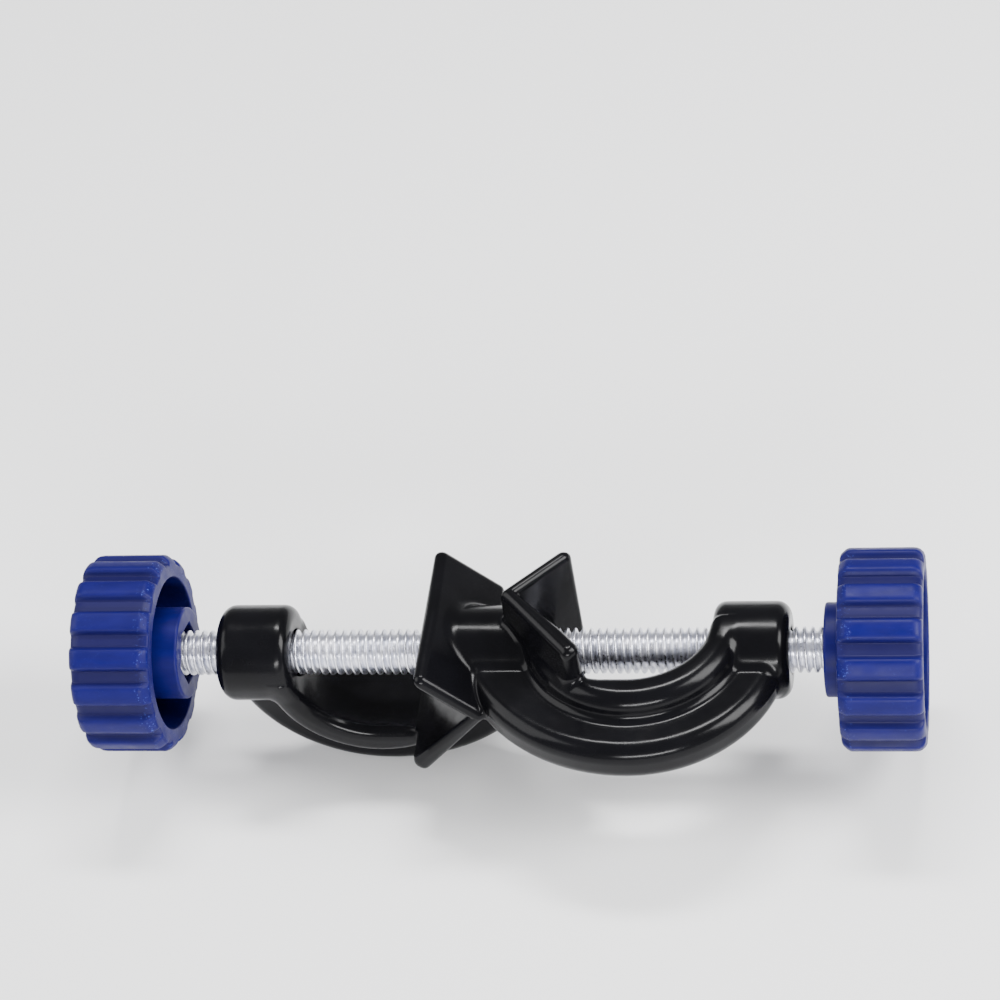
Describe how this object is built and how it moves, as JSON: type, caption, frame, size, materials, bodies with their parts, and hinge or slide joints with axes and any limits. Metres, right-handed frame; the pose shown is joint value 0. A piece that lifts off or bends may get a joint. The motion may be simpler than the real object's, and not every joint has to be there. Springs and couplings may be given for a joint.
{
  "type": "boss head clamp",
  "caption": "Boss head clamp that holds a cross rod at right angles to a stand rod, with V-jaws back to back and a fluted-knob screw closing each.",
  "frame": {"origin": "middle of the root line of the stand-rod V-groove, on the axis of the clamping screws", "axes": "+X along the screws, from the cross-rod knob to the stand-rod knob; +Z along the stand rod; +Y along the cross rod"},
  "size_m": [0.1462, 0.0436, 0.0436],
  "materials": {
    "enamel": "gloss black stoved enamel on cast metal",
    "zinc_steel": "bright zinc plate on threaded steel",
    "blue_plastic": "satin blue moulded plastic"
  },
  "bodies": {
    "casting": {"casting": "enamel"},
    "left_screw": {"left_screw": "zinc_steel"},
    "left_knob": {"left_knob": "blue_plastic"},
    "right_screw": {"right_screw": "zinc_steel"},
    "right_knob": {"right_knob": "blue_plastic"}
  },
  "joints": [
    {"name": "left_travel", "type": "slide", "parent": "casting", "child": "left_screw", "axis": [-1, 0, 0], "range_m": [-0.0023, 0.027]},
    {"name": "left_turn", "type": "hinge", "parent": "left_screw", "child": "left_knob", "pos_m": [-0.0605, 0, 0], "axis": [-1, 0, 0], "range_deg": [-587.8, 6889.2]},
    {"name": "right_travel", "type": "slide", "parent": "casting", "child": "right_screw", "axis": [1, 0, 0], "range_m": [-0.0015, 0.027]},
    {"name": "right_turn", "type": "hinge", "parent": "right_screw", "child": "right_knob", "pos_m": [0.0515, 0, 0], "axis": [1, 0, 0], "range_deg": [-383.7, 6889.2]}
  ],
  "couplings": [
    {"joint": "left_turn", "follows": "left_travel", "rad_per_m": 4452.7},
    {"joint": "right_turn", "follows": "right_travel", "rad_per_m": 4452.7}
  ]
}
